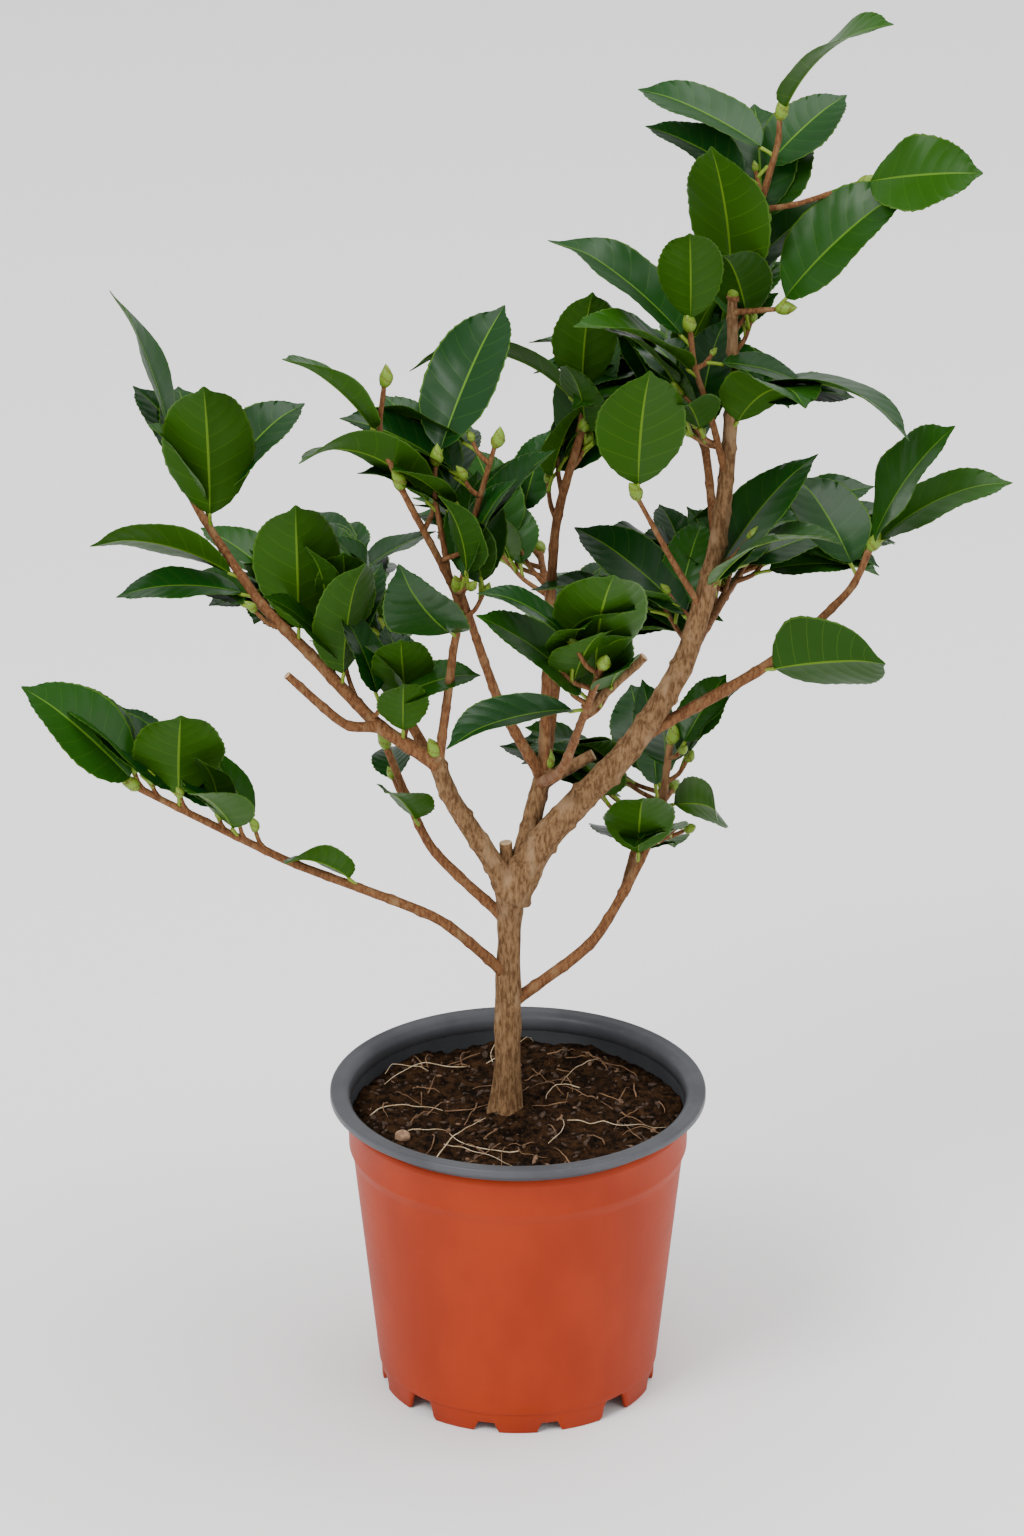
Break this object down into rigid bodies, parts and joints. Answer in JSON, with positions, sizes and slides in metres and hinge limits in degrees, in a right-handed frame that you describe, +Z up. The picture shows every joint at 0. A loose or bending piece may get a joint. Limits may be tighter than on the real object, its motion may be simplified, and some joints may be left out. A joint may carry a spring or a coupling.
{
  "type": "camellia shrub in a nursery pot",
  "caption": "Young camellia shrub with an open, leaning crown of broad glossy leaves on bare forked stems, growing in a round tapered pot with small feet.",
  "frame": {"origin": "on the pot's axis, at the level its feet stand on", "axes": "+Z up, -Y towards the front of the plant, +X to its right"},
  "size_m": [0.4749, 0.3671, 0.737],
  "materials": {
    "terracotta_plastic": "satin moulded plastic",
    "grey_plastic": "satin moulded plastic",
    "soil": "crumbly peat compost",
    "old_bark": "matt brown bark",
    "young_bark": "smooth red-brown bark",
    "foliage": "glossy leaves with matt undersides"
  },
  "bodies": {
    "root": {"back_leaves": "foliage", "back_left_leaves": "foliage", "back_left_limb": "young_bark", "back_limb": "young_bark", "back_low_leaves": "foliage", "back_low_limb": "young_bark", "back_right_leaves": "foliage", "back_right_limb": "young_bark", "back_top_leaves": "foliage", "back_top_limb": "young_bark", "centre_front_leaves": "foliage", "centre_front_stem": "young_bark", "centre_left_leaves": "foliage", "centre_left_stem": "young_bark", "centre_left_top_leaves": "foliage", "centre_low_leaves": "foliage", "centre_top_leaves": "foliage", "centre_top_stem": "young_bark", "crown_leaves": "foliage", "crown_tip_leaves": "foliage", "fork_leaves": "foliage", "inner_left_leaves": "foliage", "inner_left_limb": "young_bark", "inner_middle_leaves": "foliage", "leader": "young_bark", "leader_left_leaves": "foliage", "leader_low_leaves": "foliage", "leader_right_leaves": "foliage", "left_bough": "young_bark", "left_leader": "young_bark", "left_middle_leaves": "foliage", "left_outer_leaves": "foliage", "left_stub": "young_bark", "left_top_leaves": "foliage", "low_left_inner_leaves": "foliage", "low_left_leaves": "foliage", "low_left_limb": "young_bark", "low_left_tip_leaves": "foliage", "low_right_leaves": "foliage", "low_right_limb": "young_bark", "middle_bough": "young_bark", "middle_left_limb": "young_bark", "pot_foot_1": "terracotta_plastic", "pot_foot_2": "terracotta_plastic", "pot_foot_3": "terracotta_plastic", "pot_foot_4": "terracotta_plastic", "pot_rim": "grey_plastic", "pot_wall": "terracotta_plastic", "right_branch": "young_bark", "right_leaves": "foliage", "right_top_leaves": "foliage", "soil": "soil", "trunk": "old_bark"}
  },
  "joints": []
}
